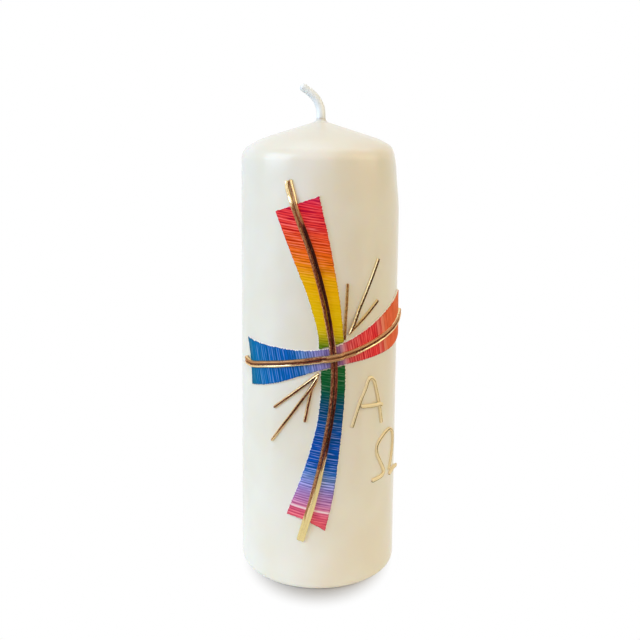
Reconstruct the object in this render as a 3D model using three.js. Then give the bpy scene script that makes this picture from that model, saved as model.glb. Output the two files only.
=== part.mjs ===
// A ceremonial pillar candle. An ivory dipped wax body with a braided wick carries, on its front,
// a rainbow cross of thin wax sheet with a pair of gold wax strips along each bar, six gold rays,
// and the traditional letters alpha and omega, bent from gold wax strip.
// Millimetres, +Z up. The origin is the middle of the base and the front looks towards -Y.
import * as THREE from 'three';

const degrees = Math.PI / 180;

// Body: a core with a blind bore for the wick, dipped in an ivory layer
const bodyDiameter = 70;
const bodyHeight = 200; // base to the tip of the wax cone, without the wick
const coneAngle = 17.6;
const shoulderWidth = 13; // how far in from the side the cone begins to round over
const shoulderTurn = 33; // slope at which the tight fillet takes over
const leastShoulderBend = 5; // how much steeper that is than the cone, at least
const shoulderFillet = 6.5;
const footRadius = 2; // rounded lower edge
const coatThickness = 2.5;
const dipGap = 0.2; // between the core and the layer dipped over it
const roundSteps = 64;

// Wick: braided cotton, upright in the wax and bent to the left above it
const wickDiameter = 4;
const wickTipDiameter = 3;
const wickClearance = 0.15;
const wickFoot = 8; // wax left under the wick
const wickSides = 10;
const wickRings = 22; // along its bend
const collarRise = 1.3; // wax drawn up round the wick
const collarWidth = 1.6;

// Motif: where it lies on the side, and how its pieces stack
const crossAcross = 5.9; // from the front line round to the crossing, to the right
const motifTopMargin = 7.7; // from the rounded shoulder down to the motif
const motifFootMargin = 22.3; // from the base up to the motif
const pressGap = 0.15; // between a pressed-on piece and what it lies on
const buttGap = 0.25; // between the cut ends of two sheets
const sheetThickness = 0.6;
const bowSteps = 3; // facets over which a sheet's bowed end fades out
const strandWidth = 1.45;
const strandHeight = 1;
const strandGap = 0.15;
const splay = 0.5; // how far the top ends of the upright pair part
const splayLength = 9;
const rayWidth = 1.3;
const rayHeight = 0.9;
const letterWidth = 1.35;
const letterHeight = 0.9;
const footLift = 0.8; // the loose end of the omega's right foot
const footLiftStart = 0.6; // share of the foot that lies on the wax
const rampLength = 3.5; // over which a strip climbs onto what it crosses
const strandStep = 2; // length of a facet along a gold strip
const letterStep = 0.9;
const stripSides = 5; // facets over a strip's round back

const bodyRadius = bodyDiameter / 2;

// Drawing of the motif, unrolled flat from a body of this radius: [right, up] from the crossing
const drawnRadius = 35;
const armTopPoints = [
  [-42.6, 4.4], [-25.4, 3.2], [-12, 2.7], [-2, 3.8], [4.6, 5.6], [12.8, 9.3], [28.9, 17.9], [42, 23.6],
];
const armFootPoints = [
  [-39, -16.1], [-24.2, -12.6], [-11.7, -7.5], [-2, -4.4], [6.2, -2.7], [19, -1.3], [33.1, 0], [46, 3.4],
];
const upperFootSpan = [-5.8, 4.4]; // where the upright meets the arm, from above and from below
const lowerTopSpan = [-5.2, 5.1];
const upperLeftPoints = [[-6.2, 10], [-10, 24.8], [-18.2, 44.2], [-24.9, 59.9]];
const upperRightPoints = [[2.3, 22.8], [0, 37.1], [-3.1, 53.1], [-6.2, 66.5]];
const lowerLeftPoints = [[-19.4, -68.9], [-12.3, -50.1], [-7.1, -31.5], [-5.1, -17.2]];
const lowerRightPoints = [[-2.8, -75.5], [0.5, -60.1], [3, -39.6], [5, -16]];
const uprightStrandPoints = [
  [-13.2, -80], [-8.2, -62], [-3, -37.6], [-0.1, -17.3], [0.2, -3],
  [-0.8, 6], [-4.6, 26.2], [-9.5, 43.9], [-15.1, 59.2], [-17.6, 67.4], [-19.1, 72.8],
];
const armStrandPoints = [
  [-44.6, -5.9], [-38.4, -6.6], [-29.3, -5], [-13.3, -2.1], [-1.2, -0.1],
  [7.4, 1.4], [15, 3.7], [24.7, 6.6], [35, 9.8], [45, 13.4],
];
const upperRayPoints = [ // from the corner above the arm
  [[0, 0.5], [0.8, 23.9]],
  [[0.9, 3.2], [15.5, 33.3]],
  [[1.5, 2.5], [15.3, 16]],
];
const lowerRayPoints = [ // from the corner below it
  [[0, 0], [-19.6, -16.4]],
  [[-0.4, -1.1], [-3.6, -6.6], [-20.9, -31.2]],
  [[-0.5, -2.9], [-2.7, -7.5], [-3.3, -9.7], [-5.6, -21.3]],
];
const alphaBarHeight = -22.2; // where the bar leaves the left leg
const alphaBarDrop = 0.9; // how much lower it meets the right leg
const alphaPoints = [
  [8.5, -30.9], [11.9, -21.2], [15, -14.9], [16.6, -11.3], [18, -10.9], [19.6, -12.4],
  [20.9, -15.9], [22.9, -22.5], [25, -32.2],
];
const omegaPoints = [
  [19.3, -56.9], [22.8, -56.8], [26.2, -56.4], [27.5, -55.2], [26.6, -52.9], [24.4, -49.4],
  [22.3, -45.6], [22.3, -42], [24.9, -39.3], [28.7, -37.6], [32.5, -37.4], [35.9, -39.6],
  [36.9, -43.9], [36, -48.6], [34.4, -52.6], [32.6, -56.3],
];
const omegaFootPoints = [[33, -58.3], [37.2, -57.7], [41.5, -58], [45, -58.6]];

// A smooth flat curve through a few points
const curveThrough = (points) =>
  new THREE.CatmullRomCurve3(points.map(([u, v]) => new THREE.Vector3(u, v, 0)), false, 'centripetal');

// The point where a curve's x or y, which rises from one share of the curve to another, reaches a value
function pointOn(curve, axis, value, from = 0, to = 1) {
  let low = from;
  let high = to;
  for (let i = 0; i < 40; i += 1) {
    const middle = (low + high) / 2;
    if (curve.getPoint(middle)[axis] < value) low = middle;
    else high = middle;
  }
  return curve.getPoint(low);
}

// The top of the body: a shallow cone, a soft shoulder and a tighter fillet down to the straight side.
// The outline runs from the side upwards.
function crown(radius, height, width) {
  const cone = coneAngle * degrees;
  const turn = Math.max(shoulderTurn, coneAngle + leastShoulderBend) * degrees;
  const coneEnd = radius - width;
  const coneEndHeight = height - coneEnd * Math.tan(cone);
  const fillet = Math.min(shoulderFillet, width * 0.9);
  const filletEnd = radius - fillet * (1 - Math.sin(turn));
  const bend = (filletEnd - coneEnd) / (Math.sin(turn) - Math.sin(cone));
  const bendDrop = bend * (Math.cos(cone) - Math.cos(turn));
  const sideTop = coneEndHeight - bendDrop - fillet * Math.cos(turn);
  const outline = [];
  for (let i = 0; i <= 6; i += 1) {
    const a = (i / 6) * (Math.PI / 2 - turn);
    outline.push([radius - fillet + fillet * Math.cos(a), sideTop + fillet * Math.sin(a)]);
  }
  for (let i = 1; i <= 4; i += 1) {
    const a = turn + (i / 4) * (cone - turn);
    const across = coneEnd + bend * (Math.sin(a) - Math.sin(cone));
    outline.push([across, coneEndHeight - bend * (Math.cos(cone) - Math.cos(a))]);
  }
  return { outline, sideTop, coneHeightAt: (r) => height - r * Math.tan(cone) };
}

const lathe = (points) =>
  new THREE.LatheGeometry(points.map(([r, z]) => new THREE.Vector2(r, z)), roundSteps).rotateX(Math.PI / 2);

const outerCrown = crown(bodyRadius, bodyHeight, shoulderWidth);

// How the flat drawing is laid on the side
const drawnTop = uprightStrandPoints.at(-1)[1];
const drawnFoot = uprightStrandPoints[0][1];
const motifSpan = outerCrown.sideTop - motifTopMargin - motifFootMargin;
const stretch = motifSpan / (drawnTop - drawnFoot);
const crossHeight = motifFootMargin - drawnFoot * stretch;

// From the drawing to the candle, a given height above the wax
function wrap(u, v, above) {
  const turn = (crossAcross + u) / drawnRadius;
  const r = bodyRadius + above;
  return new THREE.Vector3(r * Math.sin(turn), -r * Math.cos(turn), crossHeight + v * stretch);
}

// A closed skin over a row of rings. Every ring has the same even number of points, and its second
// half lies opposite its first half, so the ends close like a ladder.
function skin(rings) {
  const count = rings[0].length;
  const positions = rings.flat().flatMap((p) => [p.x, p.y, p.z]);
  const index = [];
  for (let i = 0; i < rings.length - 1; i += 1) {
    for (let k = 0; k < count; k += 1) {
      const a = i * count + k;
      const d = i * count + ((k + 1) % count);
      index.push(a, a + count, d + count, a, d + count, d);
    }
  }
  const last = (rings.length - 1) * count;
  for (let k = 0; k < count / 2 - 1; k += 1) {
    const j = count - 1 - k;
    index.push(k, k + 1, j - 1, k, j - 1, j);
    index.push(last + k, last + j - 1, last + k + 1, last + k, last + j, last + j - 1);
  }
  const geometry = new THREE.BufferGeometry();
  geometry.setAttribute('position', new THREE.Float32BufferAttribute(positions, 3));
  geometry.setIndex(index);
  geometry.computeVertexNormals();
  return geometry;
}

// A thin sheet between two edges that run the same way, wrapped on the wax. The right edge is the
// one on the right when looking along them from outside. Its far ends bow by startBow and endBow.
function sheet({ right, left, steps, across, startBow = 0, endBow = 0 }) {
  const at = (t, a) => {
    const point = right.getPointAt(t).lerp(left.getPointAt(t), a);
    const along = right.getTangentAt(t).lerp(left.getTangentAt(t), a).normalize();
    const bulge = 4 * a * (1 - a);
    const fromStart = Math.max(0, 1 - (t * steps) / bowSteps) * startBow;
    const fromEnd = Math.max(0, 1 - ((1 - t) * steps) / bowSteps) * endBow;
    return point.addScaledVector(along, bulge * (fromEnd - fromStart));
  };
  const rings = [];
  const border = [[], []];
  for (let i = 0; i <= steps; i += 1) {
    const outer = [];
    const inner = [];
    for (let k = 0; k <= across; k += 1) {
      const p = at(i / steps, k / across);
      outer.push(wrap(p.x, p.y, pressGap + sheetThickness));
      inner.unshift(wrap(p.x, p.y, pressGap));
    }
    rings.push([...outer, ...inner]);
    border[0].push(at(i / steps, 0));
    border[1].unshift(at(i / steps, 1));
  }
  const outline = [...border[0], ...border[1]];
  const cover = (p) => ({ distance: outsideOf(outline, p), top: pressGap + sheetThickness });
  return { geometry: skin(rings), cover };
}

// Distance from a point to a line piece, and how far along it the nearest place is
function toSegment(p, a, b) {
  const span = b.clone().sub(a);
  const t = THREE.MathUtils.clamp(p.clone().sub(a).dot(span) / span.lengthSq(), 0, 1);
  return { distance: p.distanceTo(a.clone().addScaledVector(span, t)), t };
}

// Distance from a point to a closed outline, 0 inside it
function outsideOf(outline, p) {
  let inside = false;
  let nearest = Infinity;
  outline.forEach((a, i) => {
    const b = outline[(i + 1) % outline.length];
    const crosses = (a.y > p.y) !== (b.y > p.y);
    if (crosses && p.x < a.x + ((p.y - a.y) * (b.x - a.x)) / (b.y - a.y)) inside = !inside;
    nearest = Math.min(nearest, toSegment(p, a, b).distance);
  });
  return inside ? 0 : nearest;
}

// Even steps along a curve, moved sideways by offset(distance from the far end)
function trace(curve, step, offset = () => 0) {
  const length = curve.getLength();
  const steps = Math.max(3, Math.round(length / step));
  const path = [];
  for (let i = 0; i <= steps; i += 1) {
    const along = curve.getTangentAt(i / steps);
    const side = new THREE.Vector3(along.y, -along.x, 0);
    path.push(curve.getPointAt(i / steps).addScaledVector(side, offset(length * (1 - i / steps))));
  }
  return path;
}

// A strip with a flat underside and a round back, pressed along a path. It climbs over the pieces
// in over, and lift(share of its length) raises it further.
function strip({ path, width, height, over = [], lift = () => 0 }) {
  const section = Array.from({ length: stripSides + 1 }, (_, k) => {
    const angle = (k / stripSides) * Math.PI;
    return [(width / 2) * Math.cos(angle), height * Math.sin(angle)];
  });
  const step = path[0].distanceTo(path[1]);
  const undersides = path.map((p, i) => {
    const heights = over.map((cover) => {
      const { distance, top } = cover(p);
      return top * (1 - THREE.MathUtils.smoothstep(distance - width / 2 - step, 0, rampLength));
    });
    return pressGap + Math.max(0, ...heights) + lift(i / (path.length - 1));
  });
  const rings = path.map((p, i) => {
    const before = path[Math.max(0, i - 1)];
    const after = path[Math.min(path.length - 1, i + 1)];
    const along = after.clone().sub(before).normalize();
    return section.map(([a, b]) => wrap(p.x + a * along.y, p.y - a * along.x, undersides[i] + b));
  });
  const cover = (p) => {
    let nearest = { distance: Infinity, top: 0 };
    for (let i = 0; i < path.length - 1; i += 1) {
      const { distance, t } = toSegment(p, path[i], path[i + 1]);
      const top = THREE.MathUtils.lerp(undersides[i], undersides[i + 1], t) + height;
      if (distance < nearest.distance) nearest = { distance, top };
    }
    return { distance: Math.max(0, nearest.distance - width / 2), top: nearest.top };
  };
  return { geometry: skin(rings), cover };
}

// Body of the candle
function dippedCoat() {
  const innerRadius = bodyRadius - coatThickness;
  const innerCrown = crown(innerRadius, bodyHeight - coatThickness, shoulderWidth - coatThickness);
  const holeRadius = wickDiameter / 2 + wickClearance;
  const collarEnd = holeRadius + collarWidth;
  const round = Math.min(footRadius, coatThickness * 0.8);
  const foot = [];
  for (let i = 0; i <= 3; i += 1) {
    const a = (i / 3) * (Math.PI / 2);
    foot.push([bodyRadius - round * (1 - Math.sin(a)), round * (1 - Math.cos(a))]);
  }
  const collar = [];
  for (let i = 0; i <= 4; i += 1) {
    const a = (i / 4) * (Math.PI / 2);
    const lean = 1 - Math.sin(a);
    const r = holeRadius + collarWidth * lean;
    collar.push([r, outerCrown.coneHeightAt(collarEnd) + collarRise * (1 - Math.cos(a))]);
  }
  return lathe([
    [innerRadius, 0], ...foot, ...outerCrown.outline, ...collar,
    [holeRadius, innerCrown.coneHeightAt(holeRadius)], ...innerCrown.outline.toReversed(), [innerRadius, 0],
  ]);
}

function waxCore() {
  const radius = bodyRadius - coatThickness - dipGap;
  const inset = coatThickness + dipGap;
  const { outline, coneHeightAt } = crown(radius, bodyHeight - inset, shoulderWidth - inset);
  const boreRadius = wickDiameter / 2 + wickClearance;
  return lathe([
    [0, 0], [radius, 0], ...outline,
    [boreRadius, coneHeightAt(boreRadius)], [boreRadius, wickFoot], [0, wickFoot],
  ]);
}

// The wick's bend above the wax: [right, up] from the tip of the cone
const wickBend = [[0, 0], [-0.2, 4.6], [-1.7, 8.4], [-4.15, 11.2], [-6.7, 13.2], [-8.6, 14.4]];

function wick() {
  const straight = wickFoot + wickClearance;
  const points = [
    new THREE.Vector3(0, 0, straight), new THREE.Vector3(0, 0, bodyHeight * 0.5),
    new THREE.Vector3(0, 0, bodyHeight - shoulderWidth),
    ...wickBend.map(([x, z]) => new THREE.Vector3(x, 0, bodyHeight + z)),
  ];
  const bend = new THREE.CatmullRomCurve3(points.slice(2), false, 'centripetal');
  const stations = [points[0], points[1], ...bend.getSpacedPoints(wickRings)];
  const free = bodyHeight + collarRise;
  const top = stations.at(-1).z;
  const rings = stations.map((p, i) => {
    const before = stations[Math.max(0, i - 1)];
    const after = stations[Math.min(stations.length - 1, i + 1)];
    const along = after.clone().sub(before).normalize();
    const side = new THREE.Vector3(along.z, 0, -along.x);
    const back = new THREE.Vector3(0, 1, 0);
    const share = THREE.MathUtils.clamp((p.z - free) / (top - free), 0, 1);
    const radius = THREE.MathUtils.lerp(wickDiameter, wickTipDiameter, share) / 2;
    return Array.from({ length: wickSides }, (_, k) => {
      const a = ((k + 0.5) / wickSides) * Math.PI * 2;
      const out = p.clone().addScaledVector(side, radius * Math.cos(a));
      return out.addScaledVector(back, -radius * Math.sin(a));
    });
  });
  return skin(rings);
}

// Finishes, by colour, roughness and metalness
const finish = (color, roughness, metalness = 0) =>
  new THREE.MeshStandardMaterial({ color, roughness, metalness });
const ivoryWax = finish('#e9e4d4', 0.42);
const plainWax = finish('#f1eee4', 0.6);
const cotton = finish('#eef0f3', 0.85);
const warmRainbow = finish('#ee8a22', 0.4);
const coolRainbow = finish('#1f5fae', 0.4);
const armRainbow = finish('#5a6fc4', 0.4);
const goldStrip = finish('#c99a4a', 0.28, 0.9);
const paleGoldStrip = finish('#d9c07a', 0.35, 0.8);

const candle = new THREE.Group();
function add(group, name, geometry, material) {
  const mesh = new THREE.Mesh(geometry, material);
  mesh.name = name;
  group.add(mesh);
}

const body = new THREE.Group();
candle.add(body);
add(body, 'wax_core', waxCore(), plainWax);
add(body, 'dipped_coat', dippedCoat(), ivoryWax);
add(body, 'wick', wick(), cotton);

// Rainbow cross: one sheet for the arm, and the upright cut to butt against it
const cross = new THREE.Group();
candle.add(cross);
const armTop = curveThrough(armTopPoints);
const armFoot = curveThrough(armFootPoints);
const buttOn = (edge, gap) => (across) => [across, pointOn(edge, 'x', across).y + gap];
const [upperLeftFoot, upperRightFoot] = upperFootSpan.map(buttOn(armTop, buttGap));
const [lowerLeftTop, lowerRightTop] = lowerTopSpan.map(buttOn(armFoot, -buttGap));
const arm = sheet({ right: armFoot, left: armTop, steps: 44, across: 4, startBow: -1.2, endBow: -0.8 });
const upper = sheet({
  right: curveThrough([upperRightFoot, ...upperRightPoints]),
  left: curveThrough([upperLeftFoot, ...upperLeftPoints]), steps: 24, across: 6,
});
const lower = sheet({
  right: curveThrough([...lowerRightPoints, lowerRightTop]),
  left: curveThrough([...lowerLeftPoints, lowerLeftTop]), steps: 26, across: 6, startBow: -1.2,
});
add(cross, 'cross_arm', arm.geometry, armRainbow);
add(cross, 'cross_upright_upper', upper.geometry, warmRainbow);
add(cross, 'cross_upright_lower', lower.geometry, coolRainbow);

// Gold strips: a pair down the upright, then a pair along the arm that passes over it
const gold = new THREE.Group();
candle.add(gold);
const pairOffset = (strandWidth + strandGap) / 2;
const uprightLine = curveThrough(uprightStrandPoints);
const armLine = curveThrough(armStrandPoints);
const parting = (left) => splay * Math.sin(Math.PI * THREE.MathUtils.clamp(left / splayLength, 0, 1));
const strand = (curve, offset, over) =>
  strip({ path: trace(curve, strandStep, offset), width: strandWidth, height: strandHeight, over });
const sheets = [arm.cover, upper.cover, lower.cover];
const uprightLeft = strand(uprightLine, (left) => -pairOffset - parting(left), sheets);
const uprightRight = strand(uprightLine, () => pairOffset, sheets);
const below = [...sheets, uprightLeft.cover, uprightRight.cover];
const armUpper = strand(armLine, () => -pairOffset, below);
const armLower = strand(armLine, () => pairOffset, below);
add(gold, 'gold_upright_left', uprightLeft.geometry, goldStrip);
add(gold, 'gold_upright_right', uprightRight.geometry, goldStrip);
add(gold, 'gold_arm_upper', armUpper.geometry, goldStrip);
add(gold, 'gold_arm_lower', armLower.geometry, goldStrip);

// Rays: three from each of two opposite inner corners, the middle one laid over the other two
const rays = new THREE.Group();
candle.add(rays);
const ray = (points, over = []) =>
  strip({ path: trace(curveThrough(points), strandStep), width: rayWidth, height: rayHeight, over });
const rayClear = rayWidth / 2 + buttGap;
const upperRoot = [upperRightFoot[0] + rayClear, upperRightFoot[1] + rayClear];
const lowerRoot = [lowerLeftTop[0] - rayClear, lowerLeftTop[1] - rayClear];
const from = (root) => (points) => points.map(([u, v]) => [root[0] + u, root[1] + v]);
const [upperLine1, upperLine2, upperLine3] = upperRayPoints.map(from(upperRoot));
const [lowerLine1, lowerLine2, lowerLine3] = lowerRayPoints.map(from(lowerRoot));
const upperRay1 = ray(upperLine1);
const upperRay3 = ray(upperLine3);
const upperRay2 = ray(upperLine2, [upperRay1.cover, upperRay3.cover]);
const lowerRay1 = ray(lowerLine1);
const lowerRay3 = ray(lowerLine3);
const lowerRay2 = ray(lowerLine2, [lowerRay1.cover, lowerRay3.cover]);
add(rays, 'ray_upper_1', upperRay1.geometry, goldStrip);
add(rays, 'ray_upper_2', upperRay2.geometry, goldStrip);
add(rays, 'ray_upper_3', upperRay3.geometry, goldStrip);
add(rays, 'ray_lower_1', lowerRay1.geometry, goldStrip);
add(rays, 'ray_lower_2', lowerRay2.geometry, goldStrip);
add(rays, 'ray_lower_3', lowerRay3.geometry, goldStrip);

// Letters: the alpha's legs are one bent strip, and its bar hooks over the right leg
const letters = new THREE.Group();
candle.add(letters);
function letter(points, over = [], lift = () => 0) {
  const path = trace(curveThrough(points), letterStep);
  return strip({ path, width: letterWidth, height: letterHeight, over, lift });
}
const alphaLine = curveThrough(alphaPoints);
const alpha = letter(alphaPoints);
const barClear = letterWidth / Math.SQRT2 + buttGap; // the leg leans, so it is wider on the level
const leftLeg = pointOn(alphaLine, 'y', alphaBarHeight, 0, 0.5);
const rightLeg = pointOn(alphaLine, 'y', alphaBarHeight - alphaBarDrop, 1, 0.5);
const bar = letter([
  [leftLeg.x + barClear, leftLeg.y], [(leftLeg.x + rightLeg.x) / 2, rightLeg.y],
  [rightLeg.x, rightLeg.y], [rightLeg.x + letterWidth, rightLeg.y - alphaBarDrop],
], [alpha.cover]);
const omega = letter(omegaPoints);
const rise = (share) => footLift * THREE.MathUtils.smoothstep(share, footLiftStart, 1);
const omegaFoot = letter(omegaFootPoints, [], rise);
add(letters, 'alpha_legs', alpha.geometry, paleGoldStrip);
add(letters, 'alpha_bar', bar.geometry, paleGoldStrip);
add(letters, 'omega_bow', omega.geometry, paleGoldStrip);
add(letters, 'omega_foot', omegaFoot.geometry, paleGoldStrip);

export default candle;
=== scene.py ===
# %% [markdown]
# # A ceremonial candle with a wax cross
# The object is a pillar candle of ivory wax, 200 mm tall and 70 mm wide. On its front lies a
# slanted cross of thin wax sheet, printed in rainbow colours, with a pair of gold strips along
# each bar, six gold rays and the letters alpha and omega. Each of these is pressed on by hand, so
# each is a piece of its own here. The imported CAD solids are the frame, and this lesson dresses
# them one after the other.

from math import cos, pi, radians, sin, tan

import bmesh
import bpy
import numpy as np
from mathutils import Matrix, Vector, noise


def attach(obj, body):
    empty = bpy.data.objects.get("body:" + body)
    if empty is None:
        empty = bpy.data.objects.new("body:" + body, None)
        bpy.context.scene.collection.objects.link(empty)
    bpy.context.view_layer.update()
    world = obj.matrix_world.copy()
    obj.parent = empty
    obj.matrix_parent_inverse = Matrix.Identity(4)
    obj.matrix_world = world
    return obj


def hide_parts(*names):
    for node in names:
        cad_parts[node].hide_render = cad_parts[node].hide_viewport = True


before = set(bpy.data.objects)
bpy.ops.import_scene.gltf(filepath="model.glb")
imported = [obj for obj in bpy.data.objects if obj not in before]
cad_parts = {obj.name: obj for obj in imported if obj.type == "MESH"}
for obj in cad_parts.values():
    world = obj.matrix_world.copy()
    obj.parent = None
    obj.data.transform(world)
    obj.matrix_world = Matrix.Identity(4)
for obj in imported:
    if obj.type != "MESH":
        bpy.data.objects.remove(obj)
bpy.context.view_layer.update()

# %% [markdown]
# ## Sizes and the way the drawing is wrapped
# The motif was made flat and pressed round the candle. It is easiest to keep it as a flat drawing
# in millimetres, with the crossing of the two bars at zero, and to wrap every point on the wax
# when a mesh is made. A point then has three numbers: to the right, up, and above the wax.

# %% Sizes in millimetres, and the wrap
MM = 0.001
BODY_RADIUS = 35.0
BODY_HEIGHT = 200.0
CROSS_ACROSS = 5.9  # from the front line round to the crossing
CROSS_HEIGHT = 102.31
SHEET_TOP = 0.75  # a sheet's face above the wax
SUNK = -0.12  # pressed undersides reach this far into the uneven wax


def wrap(flat, above):
    """Flat drawing points (n, 2) to places on the candle, a height above the wax."""
    flat = np.asarray(flat, float)
    turn = (CROSS_ACROSS + flat[..., 0]) / BODY_RADIUS
    r = BODY_RADIUS + above
    return np.stack([r * np.sin(turn), -r * np.cos(turn), CROSS_HEIGHT + flat[..., 1] + 0 * r], -1)


print("crossing at", wrap([0, 0], 0).round(2), "mm")

# %% [markdown]
# ## Smooth curves through a few points
# Hand-bent wax has no corners, so each edge and strip is a smooth curve through a few points. A
# centripetal Catmull-Rom curve passes through all of them and never makes loops, which a plain
# cubic can do where points stand close. Points at even distances along it make even meshes.

# %% Curves


def centripetal(points, samples=24):
    """Dense points on a smooth curve through the given flat points."""
    p = np.asarray(points, float)
    p = np.vstack([2 * p[0] - p[1], p, 2 * p[-1] - p[-2]])
    dense = []
    for p0, p1, p2, p3 in zip(p[:-3], p[1:-2], p[2:-1], p[3:]):
        d0, d1, d2 = (np.linalg.norm(b - a) ** 0.5 for a, b in ((p0, p1), (p1, p2), (p2, p3)))
        m1 = ((p1 - p0) / d0 - (p2 - p0) / (d0 + d1) + (p2 - p1) / d1) * d1
        m2 = ((p2 - p1) / d1 - (p3 - p1) / (d1 + d2) + (p3 - p2) / d2) * d1
        t = np.linspace(0, 1, samples, endpoint=False)[:, None]
        h = 2 * t**3 - 3 * t**2
        dense.append((h + 1) * p1 + (t**3 - 2 * t**2 + t) * m1 - h * p2 + (t**3 - t**2) * m2)
    return np.vstack(dense + [p[-2:-1]])


def steps(points):
    """The distance from each point of a line to the next."""
    return np.linalg.norm(np.diff(points, axis=0), axis=1)


def even(points, count):
    """The same line with points at even distances."""
    along = np.r_[0, np.cumsum(steps(points))]
    at = np.linspace(0, along[-1], count)
    return np.stack([np.interp(at, along, points[:, k]) for k in range(points.shape[1])], -1)


def tangents(points):
    step = np.gradient(points, axis=0)
    return step / np.linalg.norm(step, axis=1)[:, None]


def rightwards(points):
    """Directions to the right of a flat line, square to it."""
    along = tangents(points)
    return np.stack([along[:, 1], -along[:, 0]], -1)


print("curve check:", even(centripetal([[0, 0], [10, 5], [20, 0]]), 5).round(2).tolist())

# %% Soft steps and ripples
SEED_AWAY = (7.31, 3.17)  # takes each seed to another place in the noise
NOISE_TO_ONE = 1.6  # stretches the noise to about -1..1


def smoothstep(x, low, high):
    t = np.clip((np.asarray(x, float) - low) / (high - low), 0, 1)
    return t * t * (3 - 2 * t)


def ripple(count, step, scale, seed):
    """Smooth random numbers in about -1..1 at count places, with bumps about scale long."""
    place = [seed * away for away in SEED_AWAY]
    return np.array([
        noise.noise(Vector((k * step / scale, *place))) * NOISE_TO_ONE for k in range(count)
    ])


print("ripple check:", ripple(4, 1.0, 3.0, 1).round(2).tolist())

# %% [markdown]
# ## One mesh helper for all long pieces
# A strip, a sheet and a wick are all rows of closed rings, joined to a skin with an end at each
# side. Building that skin once keeps each piece down to its own shape. A UV map here holds real
# millimetres, so that every material can draw its detail at true scale.

# %% Mesh helpers


def to_mesh(bm, name, sharp):
    """Ends the work on a bmesh. Edges bent by more than sharp degrees stay sharp."""
    bmesh.ops.recalc_face_normals(bm, faces=bm.faces)
    mesh = bpy.data.meshes.new(name)
    bm.to_mesh(mesh)
    bm.free()
    mesh.set_sharp_from_angle(angle=radians(sharp))
    return mesh


def new_object(name, data, *materials):
    for material in materials:
        data.materials.append(material)
    piece = bpy.data.objects.new(name, data)
    bpy.context.scene.collection.objects.link(piece)
    return piece


def ring_skin(name, rings, maps, materials, under=(), slots=None, sharp=50):
    """A closed skin over rings (n, m, 3) in mm. maps gives (n, m + 1, 2) numbers for UV layers.

    The underside takes the numbers of the columns in under again. slots gives the material of
    each column of faces. The ends take the last material.
    """
    maps = {key: np.concatenate([uv, uv[:, list(under)]], axis=1) for key, uv in maps.items()}
    n, m = rings.shape[:2]
    bm = bmesh.new()
    layers = {key: bm.loops.layers.uv.new(key) for key in maps}
    verts = [[bm.verts.new(Vector(p) * MM) for p in ring] for ring in rings]

    def add(corners, slot):
        face = bm.faces.new([verts[i][k % m] for i, k in corners])
        face.material_index = slot
        for loop, corner in zip(face.loops, corners):
            for key, layer in layers.items():
                loop[layer].uv = maps[key][corner]
        return face

    for i in range(n - 1):
        for k in range(m):
            quad = [(i, k), (i + 1, k), (i + 1, k + 1), (i, k + 1)]
            add(quad, slots[k] if slots else 0).smooth = True
    for i, order in ((0, range(m)), (n - 1, range(m)[::-1])):
        add([(i, k) for k in order], len(materials) - 1)
    return new_object(name, to_mesh(bm, name, sharp), *materials)


def seat(piece, slot, *nodes):
    """The piece takes the place of CAD nodes. The slot is not used."""
    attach(piece, "root")
    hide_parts(*nodes)
    print(piece.name, len(piece.data.polygons), "faces for", ", ".join(nodes))


# %% [markdown]
# ## Colours and node helpers
# Colours are picked in the way a screen shows them and turned into the light values that Cycles
# works with. A few short helpers place nodes and links, so that each material reads as a list
# of what happens on the real surface.

# %% Colours and nodes


def colour(code):
    """A screen colour such as "#e9e4d4" as linear RGBA."""
    parts = [int(code[i : i + 2], 16) / 255 for i in (1, 3, 5)]
    return (*[c / 12.92 if c <= 0.04045 else ((c + 0.055) / 1.055) ** 2.4 for c in parts], 1)


def fill(node, **values):
    """Sets inputs of a node, by name or number: to a value, a "#" colour, or a link."""
    for key, value in values.items():
        socket = node.inputs[int(key[1:]) if key[0] == "_" else key.replace("_", " ")]
        if isinstance(value, bpy.types.NodeSocket):
            node.id_data.links.new(value, socket)
        else:
            socket.default_value = colour(value) if isinstance(value, str) else value
    return node


def put(kind, settings=None, tree=None, **values):
    """Adds a node. settings are its own options, values its inputs.

    A link knows its tree, so only a node that gets no link has to be told the tree.
    """
    tree = tree or next(v.id_data for v in values.values() if isinstance(v, bpy.types.NodeSocket))
    node = tree.nodes.new("ShaderNode" + kind)
    for key, value in (settings or {}).items():
        setattr(node, key, value)
    return fill(node, **values)


def uv_map(tree, name):
    return put("UVMap", {"uv_map": name}, tree).outputs[0]


def object_place(tree):
    return put("TexCoord", tree=tree).outputs["Object"]


def split(vector):
    return put("SeparateXYZ", _0=vector).outputs


def stretched(vector, scale):
    return put("Mapping", Vector=vector, Scale=scale).outputs[0]


def from_zero(vector):
    return put("VectorMath", {"operation": "LENGTH"}, _0=vector).outputs["Value"]


print("ivory as light values:", [round(c, 3) for c in colour("#f6f1e6")])

# %% Values: sums, soft ranges, blends and noise


def maths(operation, a, b=0.0):
    return put("Math", {"operation": operation}, _0=a, _1=b).outputs[0]


def times(a, b):
    return maths("MULTIPLY", a, b)


def jitter(value, wobble, amount):
    """Moves a value up and down by a noise, by up to half the amount."""
    return maths("ADD", value, times(maths("SUBTRACT", wobble, 0.5), amount))


def spread(value, low, high, to_low=0.0, to_high=1.0):
    """Maps a range of values to another with soft ends."""
    settings = {"interpolation_type": "SMOOTHSTEP"}
    node = put("MapRange", settings, _0=value, _1=low, _2=high, _3=to_low, _4=to_high)
    return node.outputs[0]


def blend(factor, a, b):
    return put("Mix", {"data_type": "RGBA"}, _0=factor, _6=a, _7=b).outputs[2]


def grain(vector, scale, detail=3.0, roughness=0.55):
    return put("TexNoise", Vector=vector, Scale=scale, Detail=detail,
               Roughness=roughness).outputs[0]


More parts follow.
